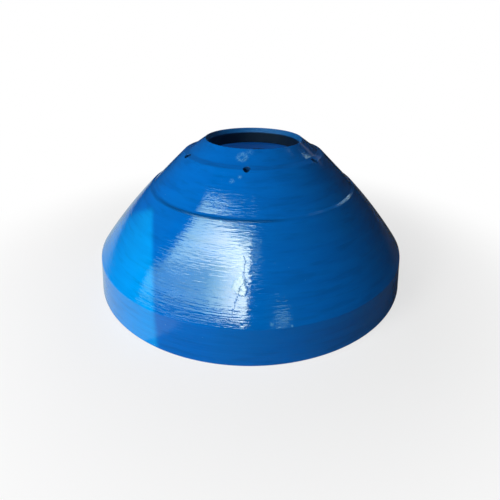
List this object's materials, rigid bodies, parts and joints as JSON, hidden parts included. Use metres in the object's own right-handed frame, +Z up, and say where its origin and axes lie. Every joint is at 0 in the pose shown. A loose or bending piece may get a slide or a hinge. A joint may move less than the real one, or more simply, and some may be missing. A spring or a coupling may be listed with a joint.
{
  "type": "cone crusher mantle",
  "caption": "Thick conical wear liner for a cone crusher's head, with a bored collar, a ledge with pouring holes, a stepped crushing face and a plain foot band.",
  "frame": {"origin": "centre of the foot ring, on the surface that the mantle stands on", "axes": "+Z up the crusher's axis towards the bore; -Y through one of the pouring holes"},
  "size_m": [1.6792, 1.6788, 0.7288],
  "materials": {
    "enamelled_casting": "gloss, hand-brushed"
  },
  "bodies": {
    "root": {"mantle": "enamelled_casting"}
  },
  "joints": []
}
